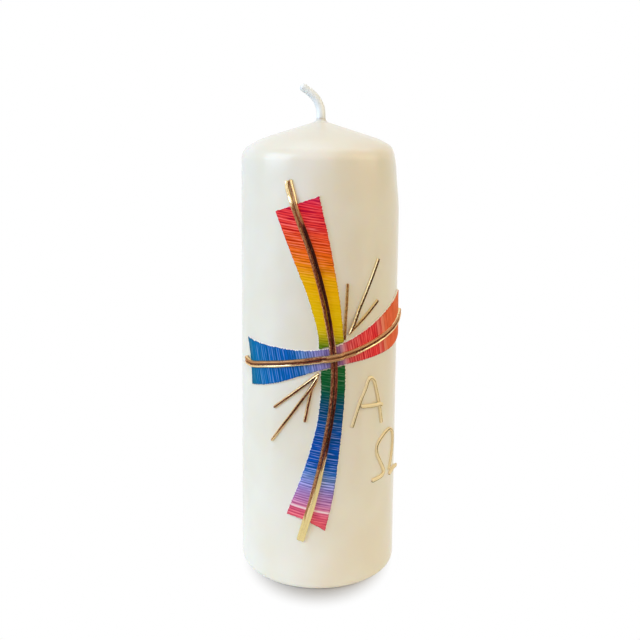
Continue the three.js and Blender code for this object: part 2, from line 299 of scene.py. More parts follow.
def bump(height, strength, distance):
    return put("Bump", Height=height, Strength=strength, Distance=distance).outputs[0]


# %% Shared effects and finishes


def effect(name, inputs, outputs):
    """An empty node group, its inputs, and its end node. inputs and outputs map name to kind."""
    group = bpy.data.node_groups.new(name, "ShaderNodeTree")
    for way, sockets in (("INPUT", inputs), ("OUTPUT", outputs)):
        for label, kind in sockets.items():
            group.interface.new_socket(label, in_out=way, socket_type="NodeSocket" + kind)
    return group, group.nodes.new("NodeGroupInput").outputs, group.nodes.new("NodeGroupOutput")


def use(tree, group, **values):
    return put("Group", {"node_tree": group}, tree, **values).outputs


def finish(name, **constants):
    """A new material with one Principled shader. Constants go on the shader's own sockets."""
    material = bpy.data.materials.new(name)
    material.use_nodes = True
    tree = material.node_tree
    return material, tree, fill(tree.nodes["Principled BSDF"], **constants)


SURFACE = {"Colour": "Color", "Roughness": "Float", "Height": "Float"}
print("a surface has:", ", ".join(SURFACE))

# %% [markdown]
# ## The finish of cast and dipped wax
# Candle wax is almost white, lets light in a few millimetres, and has a soft gloss from the
# dipping. Under it the surface isn't perfect: it has shallow waves where the wax ran, fine pores,
# and places a little more yellow or cloudy. Both the dipped layer and the core show these at
# different strengths, so they are one effect, in metres of the object itself.

# %% Wax effect
wax_effect, into, out = effect(
    "Wax surface", {"Light colour": "Color", "Deep colour": "Color", "Pores": "Float"}, SURFACE)
tree = wax_effect
place = object_place(tree)
clouds = spread(grain(place, 28.0, 2.0), 0.35, 0.65)
runs = grain(stretched(place, (1, 1, 0.35)), 60.0, 2.0)
pores = spread(grain(place, 900.0, 2.0), 0.3, 0.42)
pits = times(maths("SUBTRACT", 1.0, pores), into["Pores"])
fill(out, Colour=blend(clouds, into["Light colour"], into["Deep colour"]),
     Roughness=spread(grain(place, 40.0, 2.0), 0.3, 0.7, 0.28, 0.32),
     Height=maths("SUBTRACT", runs, times(pits, 0.08)))
print("wax effect:", len(tree.nodes), "nodes")

# %% The two waxes
WAX_WAVES = 0.0012  # metres that the bumps of full strength stand for
ivory_wax, tree, shader = finish(
    "ivory_wax", Subsurface_Weight=0.35, Subsurface_Radius=(1.0, 0.62, 0.35),
    Subsurface_Scale=0.004, IOR=1.44, Coat_Weight=0.5, Coat_Roughness=0.12, Coat_IOR=1.44)
wax = use(tree, wax_effect, Light_colour="#f6f1e6", Deep_colour="#f2ebdb", Pores=0.03)
fill(shader, Base_Color=wax["Colour"], Roughness=wax["Roughness"],
     Normal=bump(wax["Height"], 0.3, WAX_WAVES))

core_wax, tree, shader = finish("core_wax", Subsurface_Weight=0.2, Subsurface_Scale=0.003)
wax = use(tree, wax_effect, Light_colour="#f3f0e8", Deep_colour="#e9e3d5", Pores=1.0)
fill(shader, Base_Color=wax["Colour"],
     Roughness=spread(wax["Roughness"], 0.2, 0.4, 0.45, 0.65),
     Normal=bump(wax["Height"], 0.8, WAX_WAVES))
print("wax materials:", ivory_wax.name, core_wax.name)

# %% [markdown]
# ## The wax body
# The body was cast in a round mould and dipped in ivory wax. It could be a cylinder with bevels,
# but the real one has a shallow cone on top, a soft shoulder, a rounded foot and wax drawn up
# round the wick, so its outline is drawn once and turned. The turned skin is then moved a little
# by a slow noise, because hand-dipped wax is never an exact solid of revolution. Its right flank
# is set back below the shoulder, as in the photo.

# %% Outline of the body
CONE, TURN = radians(17.6), radians(33)  # slopes of the cone and at the shoulder's bend
SHOULDER_WIDTH, FILLET, FOOT_RADIUS = 13.0, 6.5, 2.0
HOLE_RADIUS, COLLAR_WIDTH, COLLAR_RISE = 1.96, 2.1, 2.2
SIDE_POINTS, FILLET_POINTS, BEND_STEPS, CONE_POINTS, ARC_POINTS = 60, 14, 12, 16, 9


def body_outline():
    """[radius, height] from the inside of the foot up to the mouth of the wick's hole."""
    cone_end = BODY_RADIUS - SHOULDER_WIDTH
    cone_end_height = BODY_HEIGHT - cone_end * tan(CONE)
    fillet_end = BODY_RADIUS - FILLET * (1 - sin(TURN))
    bend = (fillet_end - cone_end) / (sin(TURN) - sin(CONE))
    drop = bend * (cos(CONE) - cos(TURN))
    side_top = cone_end_height - drop - FILLET * cos(TURN)
    quarter = np.linspace(0, pi / 2, ARC_POINTS)
    outline = [(BODY_RADIUS - FOOT_RADIUS * (1 - sin(a)), FOOT_RADIUS * (1 - cos(a)))
               for a in quarter]
    outline += [(BODY_RADIUS, z) for z in np.linspace(FOOT_RADIUS, side_top, SIDE_POINTS)[1:-1]]
    outline += [(BODY_RADIUS - FILLET * (1 - cos(a)), side_top + FILLET * sin(a))
                for a in np.linspace(0, pi / 2 - TURN, FILLET_POINTS)]
    outline += [(cone_end + bend * (sin(a) - sin(CONE)),
                 cone_end_height - bend * (cos(CONE) - cos(a)))
                for a in np.linspace(TURN, CONE, BEND_STEPS)[1:]]
    collar_end = HOLE_RADIUS + COLLAR_WIDTH
    outline += [(r, BODY_HEIGHT - r * tan(CONE))
                for r in np.linspace(cone_end, collar_end, CONE_POINTS)[1:-1]]
    foot_of_collar = BODY_HEIGHT - collar_end * tan(CONE)
    outline += [(HOLE_RADIUS + COLLAR_WIDTH * (1 - sin(a)),
                 foot_of_collar + COLLAR_RISE * (1 - cos(a))) for a in quarter]
    return outline, side_top


outline, side_top = body_outline()
print("outline points:", len(outline), "side ends at", round(side_top, 2), "mm")

# %% How hand dipping changed the turned shape
WAVES = ((0.045, 0.05), (0.12, 0.015))  # noise per mm, and the mm that it moves the skin
SET_BACK = 0.06  # keeps the waves inside the outline
CALM_BELOW, CALM_WITHIN = 1, 6  # mm of height and radius that the waves leave alone
COLLAR_LUMPS, LUMPS_WITHIN, LUMPS_ABOVE = 0.22, 4, 199
# the right flank is a little flat below the shoulder: height, and mm inwards
FLANK = [
    (162, 0), (168, 0.45), (172, 0.95), (177, 1.3), (181, 1.6), (184, 2.1), (186.2, 1.85),
    (187.7, 1.2), (188.8, 0.4), (189.6, 0)]
FLANK_STARTS, FLANK_ENDS = (0.75, 1.4), (1.7, 2.6)  # angles over which it fades in and out


def dipped(place, out_way, turn, r, z):
    """Moves a point of the turned skin as the dipping did."""
    if z > CALM_BELOW and r > CALM_WITHIN:
        wave = sum(noise.noise(place * scale) * size for scale, size in WAVES)
        place += out_way * (wave - SET_BACK)
        where = smoothstep(turn, *FLANK_STARTS) * (1 - smoothstep(turn, *FLANK_ENDS))
        place -= out_way * float(where * np.interp(z, *zip(*FLANK)))
    return place


print("flank:", max(FLANK, key=lambda row: row[1]))

# %% Turn the outline into the dipped layer
ROUND_STEPS = 192
CORE_RADIUS = 32.5  # where the core begins
INNER_WALL = [
    (HOLE_RADIUS, 196.8), (20, 191.1), (30, 186.5), (CORE_RADIUS, 180.5), (CORE_RADIUS, 0)]


def dipped_wax():
    profile = outline + INNER_WALL
    bm = bmesh.new()
    columns = []
    for step in range(ROUND_STEPS):
        turn = 2 * pi * step / ROUND_STEPS
        out_way = Vector((sin(turn), -cos(turn), 0))
        column = []
        for k, (r, z) in enumerate(profile):
            place = out_way * r + Vector((0, 0, z))
            if k < len(outline):
                place = dipped(place, out_way, turn, r, z)
            if HOLE_RADIUS <= r < LUMPS_WITHIN and z > LUMPS_ABOVE:
                place.z += COLLAR_LUMPS * noise.noise(out_way * 1.9 + Vector((0, 0, 4.2)))
            column.append(bm.verts.new(place * MM))
        columns.append(column)
    for here, there in zip(columns, columns[1:] + columns[:1]):
        for k in range(len(profile)):
            j = (k + 1) % len(profile)
            bm.faces.new([here[k], there[k], there[j], here[j]]).smooth = True
    return new_object("wax_body", to_mesh(bm, "wax_body", 55), ivory_wax)


seat(dipped_wax(), "ivory_wax", "dipped_coat")
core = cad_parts["wax_core"]
core.data.materials.clear()
core.data.materials.append(core_wax)

# %% [markdown]
# ## The wick
# The wick is a braid of cotton yarns, soaked with white wax and cut with scissors. A smooth tube
# would look like plastic, and eight yarns laid one over another would be many shells inside each
# other, through which no light passes. So the wick is one skin, and the relief of eight yarns,
# four each way, over and under each other, is pushed out of it. Wax fills most of the relief.

# %% Wick materials
wick_cotton, tree, shader = finish(
    "wick_cotton", Subsurface_Weight=0.8, Subsurface_Radius=(1.0, 1.0, 1.0),
    Subsurface_Scale=0.002, IOR=1.44, Coat_Weight=1.0, Coat_Roughness=0.45, Coat_IOR=1.8)
fibres = grain(stretched(uv_map(tree, "lay"), (0.7, 9.0, 1)), 3.0, 4.0, 0.6)
soaked = grain(object_place(tree), 320.0, 3.0)
cotton = blend(spread(fibres, 0.35, 0.7), "#e8f1ff", "#f4f9ff")
fill(shader, Base_Color=blend(spread(soaked, 0.45, 0.7), cotton, "#eef5ff"),
     Roughness=spread(soaked, 0.35, 0.7, 0.55, 0.42),
     Normal=bump(fibres, 0.03, 0.0002))

# The cut end is a darker grey-blue than the wick: the bare threads, and painted shade at the tip.
shaded_cut_cotton, tree, shader = finish("shaded_cut_cotton", Roughness=0.8)
threads = put("TexVoronoi", Vector=object_place(tree), Scale=2600.0).outputs[0]
fill(shader, Normal=bump(threads, 0.6, 0.0003),
     Base_Color=blend(spread(threads, 0.1, 0.6), "#dfeaf4", "#c4d2de"))
print("wick materials:", wick_cotton.name, shaded_cut_cotton.name)

# %% Wick path and braid
WICK_FOOT, WICK_FREE = 8.15, 201.3  # its lower end, and where it leaves the wax
HIDDEN_BELOW, WICK_ROWS, WICK_SIDES = 190, 150, 56  # no rings are needed where it is hidden
WICK_RADIUS, WICK_TIP_RADIUS = 2.0, 1.75
ROUNDING, ROUNDING_LOSS = 1.3, 0.7  # mm over which the cut end rounds off, and how much
BRAID_PITCH, YARNS_EACH_WAY, YARN_HALF_ANGLE, RELIEF = 8.5, 4, 0.75, 0.05
WICK_GIRTH = 12  # mm round it, for the UV map
WICK_BEND = [
    (0, 100), (0, 187), (0, 200), (-0.2, 204.6), (-1.7, 208.4), (-4.15, 211.2), (-6.7, 213.2),
    (-9.0, 214.6)]
wick_line = np.vstack([[[0, WICK_FOOT]], centripetal(WICK_BEND, 40)])
shown = wick_line[wick_line[:, 1] > HIDDEN_BELOW]
wick_line = np.vstack([wick_line[:2], even(shown, WICK_ROWS)])


def wick_frame(line):
    """Centres, sideways directions and radii of the wick along its line in the XZ plane."""
    along = tangents(line)
    centre = np.stack([line[:, 0], 0 * line[:, 0], line[:, 1]], -1)
    side = np.stack([along[:, 1], 0 * line[:, 0], -along[:, 0]], -1)
    share = np.clip((line[:, 1] - WICK_FREE) / (line[-1, 1] - WICK_FREE), 0, 1)
    to_end = np.linalg.norm(line - line[-1], axis=1)
    rounding = np.sqrt(1 - ROUNDING_LOSS * np.clip(1 - to_end / ROUNDING, 0, 1) ** 2)
    return centre, side, (WICK_RADIUS + (WICK_TIP_RADIUS - WICK_RADIUS) * share) * rounding


def braid(distance, turn):
    """How far the yarns stand out, 0 to 1, at lengths (n, 1) and angles (1, m) of the wick."""
    height = np.zeros(np.broadcast_shapes(distance.shape, turn.shape))
    for way in (-1, 1):
        over = 0.75 + 0.25 * way * np.cos(2 * pi * YARNS_EACH_WAY * distance / BRAID_PITCH)
        for k in range(YARNS_EACH_WAY):
            middle = 2 * pi * (way * distance / BRAID_PITCH + k / YARNS_EACH_WAY)
            off = (turn - middle + pi) % (2 * pi) - pi
            height = np.maximum(height, over * np.clip(1 - (off / YARN_HALF_ANGLE) ** 2, 0, 1))
    return height


print("wick:", round(steps(wick_line).sum(), 1), "mm long")

# %% Wick
centre, side, radius = wick_frame(wick_line)
distance = np.r_[0, np.cumsum(steps(centre))][:, None]
turn = (np.arange(WICK_SIDES)[None] + 0.5) / WICK_SIDES * 2 * pi
reach = radius[:, None] - RELIEF * (1 - braid(distance, turn))
back = np.array([0.0, 1.0, 0.0])
rings = centre[:, None] + reach[..., None] * (
    side[:, None] * np.cos(turn)[..., None] + back * np.sin(turn)[..., None])
around = np.linspace(0, WICK_GIRTH, WICK_SIDES + 1)[None]
braid_map = np.stack(np.broadcast_arrays(distance, around), -1)
wick = ring_skin("wick_braid", rings, {"lay": braid_map}, [wick_cotton, shaded_cut_cotton])
seat(wick, "wick_cotton", "wick")

# %% [markdown]
# ## The rainbow sheets
# The cross is cut from thin wax sheet with a printed face. Its colours run along each bar, and the
# print has many fine lines across the bar, some lighter and some darker, like brush marks. The cut
# shows the pale wax below the print. A picture could hold all this, but a colour ramp along the
# bar with stretched noise across it stays sharp at any size. The lines, the darker outline and
# the gloss are one effect that all three sheets share.

# %% Print effect
print_effect, into, out = effect(
    "Brushed print", {"Colour": "Color", "Contrast": "Float", "Pale lines": "Float"}, SURFACE)
tree = print_effect
lay = uv_map(tree, "lay")
strokes = put("TexWave", {"bands_direction": "X"}, Vector=stretched(lay, (1, 0.05, 1)),
              Scale=0.29, Distortion=7.0, Detail=2.0, Detail_Scale=1.6,
              Detail_Roughness=0.6).outputs[1]
ink = grain(stretched(lay, (0.85, 0.11, 1)), 1.0, 2.0, 0.6)
broad = grain(stretched(lay, (0.3, 0.02, 1)), 1.0, 2.0, 0.5)
dark = times(spread(strokes, 0.42, 0.1), spread(ink, 0.36, 0.58))
dark = maths("MAXIMUM", dark, spread(broad, 0.44, 0.3, 0.0, 0.6))
dark = times(dark, into["Contrast"])
pale = times(spread(strokes, 0.7, 0.95), spread(ink, 0.6, 0.42))
pale = times(times(pale, into["Contrast"]), into["Pale lines"])
deeper = put("HueSaturation", Hue=0.49, Value=0.52, Saturation=1.2,
             Color=into["Colour"]).outputs[0]
lighter = put("HueSaturation", Value=1.4, Saturation=0.78, Color=into["Colour"])
lighter = blend(0.05, lighter.outputs[0], "#ffffff")
inked = blend(pale, blend(dark, into["Colour"], deeper), lighter)
from_rim, from_cut = split(uv_map(tree, "rim"))[:2]
inked = blend(spread(from_rim, 0.75, 0.3, 0.0, 0.4), inked, deeper)
nicks = grain(stretched(lay, (1.6, 0.3, 1)), 1.0, 2.0, 0.6)
bare = spread(jitter(from_cut, nicks, 1.1), 0.2, 0.06)
fill(out, Colour=blend(bare, inked, "#fff8f2"), Height=strokes,
     Roughness=spread(grain(lay, 1.2, 3.0), 0.3, 0.7, 0.5, 0.68))
print("print effect:", len(tree.nodes), "nodes")

# %% Materials of the face and of the cut


def printed(name, stops, pale_lines):
    """A sheet's material. Each stop is (mm along the colours, colour, contrast of the lines)."""
    material, tree, shader = finish(name, IOR=1.45, Specular_IOR_Level=0.05)
    along = split(uv_map(tree, "lay"))[0]
    first, last = stops[0][0], stops[-1][0]
    share = put("MapRange", _0=along, _1=first, _2=last, _3=0.0, _4=1.0)
    ramp = put("ValToRGB", _0=share.outputs[0])
    elements = ramp.color_ramp.elements
    for k, (at, code, contrast) in enumerate(stops):
        place = (at - first) / (last - first)
        element = elements[0] if k == 0 else elements[-1] if at == last else elements.new(place)
        element.position = place
        element.color = (*colour(code)[:3], contrast)
    made = use(tree, print_effect, Colour=ramp.outputs[0], Contrast=ramp.outputs[1],
               Pale_lines=pale_lines)
    fill(shader, Base_Color=made["Colour"], Roughness=made["Roughness"],
         Normal=bump(made["Height"], 0.2, 0.0002))
    return material


cut_edge, tree, shader = finish("cut_edge", Roughness=0.6, Subsurface_Weight=0.3,
                                Subsurface_Scale=0.001)
torn = grain(object_place(tree), 1500.0, 3.0)
fill(shader, Normal=bump(torn, 0.4, 0.0002),
     Base_Color=blend(spread(torn, 0.35, 0.7), "#f6ece2", "#fffaf6"))
print("cut:", cut_edge.name)

# %% Rainbow colours along each bar
# The brush lines don't run square across a bar, but slant by a few degrees, and the colours
# follow them. So the numbers are millimetres from the crossing, square to the brush lines.
UPPER_SLANT, LOWER_SLANT, ARM_SLANT = radians(8), radians(12), radians(12)
UPPER_COLOURS = [
    (4, "#64901a", 0.9), (7, "#b4ae18", 0.8), (10, "#dec410", 0.4), (14, "#eeca06", 0.25),
    (20, "#f2c604", 0.15), (27, "#f8be06", 0.25), (31, "#fabc06", 0.4), (34.5, "#fca00e", 0.7),
    (38, "#fc8214", 0.9), (43, "#fc6a1e", 1.0), (48, "#fa5a32", 1.0), (52, "#fc4a40", 1.0),
    (57, "#f2363e", 0.9), (60.5, "#f22e40", 0.9), (64, "#ee3a5c", 0.9), (68, "#de3a70", 0.9)]
LOWER_COLOURS = [
    (-80, "#e85e6a", 0.4), (-72, "#ee6270", 0.45), (-69.5, "#ea647c", 0.5), (-66.8, "#de6286", 0.7),
    (-66.5, "#ffe4ec", 0.1), (-66.1, "#ffe4ec", 0.1), (-65.7, "#d878a0", 0.7),
    (-63.5, "#cc84bc", 0.8), (-59, "#a884ca", 0.9), (-55, "#9298e8", 1.0), (-52, "#86a0e6", 1.0),
    (-49.5, "#3070cc", 1.0), (-46, "#0458c4", 1.0), (-38, "#0452bc", 1.0), (-30, "#0a54b0", 1.0),
    (-25, "#045090", 1.0), (-20, "#06527c", 1.0), (-17, "#04585e", 0.9), (-13, "#14663e", 0.9),
    (-4, "#1a6a32", 0.8)]
ARM_COLOURS = [
    (-46, "#087078", 0.8), (-41, "#04708c", 0.8), (-35, "#0274b4", 0.8), (-26, "#0268bc", 0.9),
    (-19, "#0a66c4", 1.0), (-15, "#1668bc", 1.0), (-12, "#5c88d0", 1.0), (-7, "#8a8cd4", 0.8),
    (-2, "#8c7cc0", 0.6), (3.4, "#a0689c", 0.6), (4.4, "#dca0b4", 0.3), (5.2, "#d8808c", 0.4),
    (7, "#de5456", 0.6), (14, "#f24c50", 0.7), (21.5, "#f63a40", 0.6), (22.8, "#f4827e", 0.4),
    (24.2, "#ee544e", 0.6), (26, "#fc9e86", 0.3), (27.6, "#f87654", 0.4), (34, "#f8744c", 0.3),
    (48, "#fc8a5c", 0.3)]
print("colour stops:", len(UPPER_COLOURS), len(LOWER_COLOURS), len(ARM_COLOURS))

# %% [markdown]
# ## Cutting the sheets
# Each sheet lies between two curved edges. Its mesh is a grid between them, wrapped on the wax,
# with a narrow slope along the knife cut. The cut wanders by a tenth of a millimetre and the ends
# are a little ragged, as a knife leaves them in soft wax.

# %% Grid of a sheet
ROW_STEP = 0.3
INSETS = np.array([0.0, 0.42, 0.65, 1.1])  # mm from the cut to the first columns
MIDDLE_COLUMNS = 25
KNIFE = ((0.06, 3.0), (0.12, 0.7))  # mm that the cut strays, in bumps of about so many mm
AT_CUT = 0.02  # share of the width within which only the column at the cut lies


def sheet_grid(left, right, width, seed):
    """Shares of the width for each column, from the right edge to the left, and flat places."""
    middle = INSETS[-1] + (width - 2 * INSETS[-1]) * np.linspace(0, 1, MIDDLE_COLUMNS + 2)[1:-1]
    share = np.concatenate([INSETS / width, middle / width, 1 - INSETS[::-1] / width], axis=1)
    from_right, from_left = (
        sum(size * ripple(len(left), ROW_STEP, scale, seed + k) for size, scale in KNIFE)[:, None]
        for k in (0, 5))
    astray = from_right * (share < AT_CUT) - from_left * (share > 1 - AT_CUT)
    flat = right[:, None] * (1 - share[..., None]) + left[:, None] * share[..., None]
    return share, flat + (left - right)[:, None] / width[..., None] * astray[..., None]


print("columns of a sheet:", MIDDLE_COLUMNS + 2 * len(INSETS))

# %% Sheet builder
BOW_LENGTH = 5.0  # mm over which a bowed end fades out
RAGGED, RAGGED_SCALE = 0.35, 0.8  # mm that the ends are ragged, and noise per column
SPUR_WIDTH = 0.12  # share of the sheet's width
CUT_WIDTH, CUT_FALL = 0.14, -0.34  # mm beside the cut where the face slopes, and how low


def sheet_piece(name, left, right, bows, lines_way, material, seed, spur=0.0):
    """A sheet between two dense edge lines that run the same way, left and right of it.

    bows push its two ends out. lines_way is the direction square to the brush lines. A spur is
    the tip that the knife has drawn out of the right corner of the far end.
    """
    length = steps((left + right) / 2).sum()
    rows = int(length / ROW_STEP)
    left, right = even(left, rows), even(right, rows)
    width = np.linalg.norm(left - right, axis=1)[:, None]
    share, flat = sheet_grid(left, right, width, seed)
    columns = share.shape[1]
    t = np.linspace(0, 1, rows)[:, None]
    along = tangents((left + right) / 2)[:, None]
    from_start, from_end = (np.clip(1 - s * length / BOW_LENGTH, 0, 1) for s in (t, 1 - t))
    bulge = 4 * share * (1 - share)
    ragged = RAGGED * np.array([
        noise.noise(Vector((k * RAGGED_SCALE, seed * 3.3, 0))) for k in range(columns)])
    flat = flat + along * ((bulge * bows[1] + ragged) * from_end
                           - (bulge * bows[0] + ragged) * from_start)[..., None]
    if spur:
        tip = (spur * from_end**8 * np.clip(1 - share / SPUR_WIDTH, 0, 1))[..., None]
        flat = flat + along * tip - (left - right)[:, None] / width[..., None] * (tip * 0.5)
    from_cut = np.minimum(share, 1 - share) * width
    from_rim = np.minimum(from_cut, np.minimum(t, 1 - t) * length)
    top = wrap(flat, SHEET_TOP + np.where(from_rim < CUT_WIDTH, CUT_FALL, 0.0))
    rings = np.concatenate([top, wrap(flat[:, [-1, 0]], SUNK)], axis=1)
    lay = np.stack([flat @ lines_way, flat @ np.array([-lines_way[1], lines_way[0]])], -1)
    maps = {"lay": lay, "rim": np.stack([from_rim, from_cut], -1)}
    slots = [0] * (columns - 1) + [1] * 3
    return ring_skin(name, rings, maps, [material, cut_edge], (-1, 0, 0), slots)


print("mm between rows:", ROW_STEP)

# %% The arm of the cross
ARM_TOP = [
    (-42.6, 4.4), (-34, 3.6), (-25.4, 3.2), (-12, 2.8), (-2, 3.9), (4.6, 6.0), (12.8, 9.85),
    (28.9, 18.15), (42, 23.6)]
ARM_FOOT = [
    (-39, -16.1), (-32, -14.65), (-24.2, -12.45), (-11.7, -7.65), (-2, -4.6), (6.2, -3.2),
    (19, -1.75), (33.1, 0), (46, 3.4)]
arm_top, arm_foot = centripetal(ARM_TOP), centripetal(ARM_FOOT)
arm_way = np.array([cos(ARM_SLANT), sin(ARM_SLANT)])
arm = sheet_piece("sheet_arm", arm_top, arm_foot, (-1.2, -0.8), arm_way,
                  printed("arm_sheet", ARM_COLOURS, 0.7), 1)
seat(arm, "arm_sheet", "cross_arm")

# %% The upright, above and below the arm
BUTT = 0.2  # gap to the arm's edges


def on_edge(edge, across, gap):
    return (across, float(np.interp(across, edge[:, 0], edge[:, 1])) + gap)


upper_left = centripetal([on_edge(arm_top, -6.1, BUTT), (-6.65, 10), (-10.7, 24.8), (-18.45, 44.2),
                          (-25.05, 59.9)])
upper_right = centripetal([on_edge(arm_top, 4.5, BUTT), (2.75, 22.8), (0.2, 37.1), (-3.0, 53.1),
                           (-6.2, 66.5)])
lower_left = centripetal([(-19.5, -68.9), (-12.45, -50.1), (-7.3, -31.5), (-5.25, -17.2),
                          on_edge(arm_foot, -5.3, -BUTT)])
lower_right = centripetal([(-2.7, -75.5), (0.65, -60.1), (3.2, -39.6), (5.15, -16),
                           on_edge(arm_foot, 5.2, -BUTT)])
upper_way = np.array([sin(UPPER_SLANT), cos(UPPER_SLANT)])
lower_way = np.array([sin(LOWER_SLANT), cos(LOWER_SLANT)])
upper = sheet_piece("sheet_upper", upper_left, upper_right, (0, 0), upper_way,
                    printed("warm_sheet", UPPER_COLOURS, 0.35), 2, spur=0.45)
lower = sheet_piece("sheet_lower", lower_left, lower_right, (-1.2, 0), lower_way,
                    printed("cool_sheet", LOWER_COLOURS, 1.0), 3)
seat(upper, "warm_sheet", "cross_upright_upper")
seat(lower, "cool_sheet", "cross_upright_lower")

# %% [markdown]
# ## Gold strips
# The strips are half-round wax with a metal foil face. On a mirror like this the room matters
# more than the paint: the rounded sides reflect the bright studio and the middle reflects the dark
# room behind the camera. The foil wrinkles a little when it is pressed, which breaks the
# reflections up. One effect holds the wrinkles, the foil's wear, and a painted dark band along each
# strip: brown to near black, less metal and rougher, it is painted reflection of the dark room and
# painted shade between and beside the strands. Three foils use it with their own values: the
# redder one of the two pairs and the lower rays, the yellower one of the upper rays, and the pale
# one of the letters.

# %% Foil effect
FOIL_TONES = ("Gold", "Tan", "Brown", "Dark", "Pressed gold")
foil_effect, into, out = effect(
    "Pressed foil", dict.fromkeys(FOIL_TONES, "Color"), {**SURFACE, "Metallic": "Float"})
tree = foil_effect
lay = uv_map(tree, "lay")
off_middle, tone = split(uv_map(tree, "band"))[:2]
wrinkles = grain(stretched(lay, (1.2, 1.0, 1)), 1.0, 4.0, 0.6)
grains = grain(stretched(lay, (0.9, 1.5, 1)), 1.0, 3.0, 0.7)
wear_and_band_edge = grain(stretched(lay, (0.9, 1.6, 1)), 1.3, 3.0, 0.6)
flecks = grain(stretched(lay, (1.0, 1.8, 1)), 1.1, 2.0)
# The band of each strip, brown to near black, is painted reflection of the dark room and painted
# shade between and beside the strands. Flecks leave clean gold in it.
edge = jitter(maths("ABSOLUTE", off_middle), wear_and_band_edge, 1.2)
painted_band_mask = times(spread(edge, 1.12, 0.9), spread(flecks, 0.7, 0.74, 1.0, 0.1))
shade = jitter(tone, grains, 2.6)
painted_dark_band = blend(spread(shade, 0.0, 0.35), into["Tan"], into["Brown"])
painted_dark_band = blend(spread(shade, 0.4, 0.9), painted_dark_band, into["Dark"])
pressed = spread(tone, -0.2, -0.8)
clean = blend(pressed, into["Gold"], into["Pressed gold"])
not_pressed = maths("SUBTRACT", 1.0, times(pressed, 0.7))
# In the painted band the foil is less metal and rougher, so that the painted reflection and shade
# stay dark.
painted_band_dulling = times(painted_band_mask, spread(tone, -0.3, 0.15, 0.3, 1.0))
folds = times(wrinkles, spread(painted_band_mask, 0.0, 1.0, 0.3, 1.0))
wear = spread(wear_and_band_edge, 0.3, 0.7, 0.16, 0.28)
fill(out, Colour=blend(painted_band_mask, clean, painted_dark_band), Height=times(folds, not_pressed),
     Metallic=times(spread(painted_band_dulling, 0.0, 1.0, 0.95, 0.15), not_pressed),
     Roughness=maths("ADD", wear, times(painted_band_dulling, 0.3)))
print("foil effect:", len(tree.nodes), "nodes")

# %% The three foils


def foil_finish(name, colours, duller, bumps, metal):
    """A foil material with colours for FOIL_TONES. Tan, brown and dark paint reflection and shade.
    """
    material, tree, shader = finish(name, Specular_IOR_Level=0.2, Specular_Tint=(1.0, 0.6, 0.42, 1))
    made = use(tree, foil_effect, **dict(zip(FOIL_TONES, colours)))
    fill(shader, Base_Color=made["Colour"], Metallic=times(made["Metallic"], metal),
         Roughness=maths("ADD", made["Roughness"], duller),
         Normal=bump(made["Height"], bumps, 0.0003))
    return material


bright_foil = foil_finish(
    "gold_foil", ("#f0d6a2", "#b4845a", "#78382a", "#2c0806", "#ecd898"), 0.0, 0.6, 1.0)
ray_foil = foil_finish(
    "ray_foil", ("#f0d8a4", "#b4884e", "#7c4c24", "#3a1e0a", "#ecd898"), 0.1, 0.6, 0.85)
pale_foil = foil_finish(
    "pale_gold_foil", ("#f6e6bc", "#d0b880", "#a08a56", "#524218", "#f6e6bc"), 0.2, 0.2, 0.3)
print("foils:", bright_foil.name, ray_foil.name, pale_foil.name)

# %% [markdown]
# ## Laying the strips
# A strip is a half-round section moved along its line. Where it climbs onto a sheet or over
# another strip, its underside follows a smooth ramp. The height at each point comes from the
# distance to everything that lies below, just as the fingers press it down. The fingers also
# leave the ends of the upright pair and the letters nearly flat.

# %% Covers: how high the pieces below stand at a flat point
COVER_POINTS = 80  # along each edge of a sheet


def segment_distance(points, line):
    """Distance from each point to a polyline, and the share of its length at the nearest place."""
    a, b = line[:-1], line[1:]
    span = b - a
    rel = points[:, None] - a[None]
    t = np.clip((rel * span).sum(-1) / (span**2).sum(-1), 0, 1)
    gap = np.linalg.norm(rel - t[..., None] * span, axis=-1)
    best = gap.argmin(1)
    rows = np.arange(len(points))
    return gap[rows, best], (best + t[rows, best]) / (len(line) - 1)


def sheet_cover(left, right):
    closed = np.vstack([even(right, COVER_POINTS), even(left, COVER_POINTS)[::-1]])
    closed = np.vstack([closed, closed[:1]])

    def cover(points):
        a, b = closed[:-1], closed[1:]
        x, y = points[:, 0, None], points[:, 1, None]
        spans = (a[:, 1] > y) != (b[:, 1] > y)
        rise = np.where(b[:, 1] == a[:, 1], 1e-9, b[:, 1] - a[:, 1])
        inside = (spans & (x < a[:, 0] + (y - a[:, 1]) * (b[:, 0] - a[:, 0]) / rise)).sum(1) % 2
        gap = segment_distance(points, closed)[0]
        return np.where(inside == 1, 0, gap), np.full(len(points), SHEET_TOP)

    return cover


def strip_cover(path, tops, width):
    def cover(points):
        gap, share = segment_distance(points, path)
        return np.maximum(0, gap - width / 2), np.interp(share, np.linspace(0, 1, len(tops)), tops)

    return cover


sheets = [sheet_cover(arm_top, arm_foot), sheet_cover(upper_left, upper_right),
          sheet_cover(lower_left, lower_right)]
print("covers of sheets:", len(sheets))

# %% Hand work on a strip: beads, rounded ends, and ends pressed flat
STRIP_STEP = 0.22
BEAD_PITCH, BEAD_JITTER, SWELL = 0.75, 1.5, 0.03
END_LOSS, END_ROUNDING = 0.25, 0.25  # share of the thickness, and mm over which it fades
NEAR_FADE, FAR_FADE, FAR_PRESSED = 0.07, 0.03, 0.6  # the far end is pressed less


def thickness(t, bead, seed):
    """How thick a strip is at lengths t from its start, with 1 for the drawn section."""
    rows, length = len(t), t[-1]
    uneven = BEAD_JITTER * ripple(rows, STRIP_STEP, 2.5, seed)
    beads = bead * np.sin(2 * pi * t / BEAD_PITCH + uneven)
    swell = 1 + beads + SWELL * ripple(rows, STRIP_STEP, 4.0, seed + 11)
    near, far = (END_LOSS * np.exp(-s / END_ROUNDING) for s in (t, length - t))
    return swell * (1 - near - far)


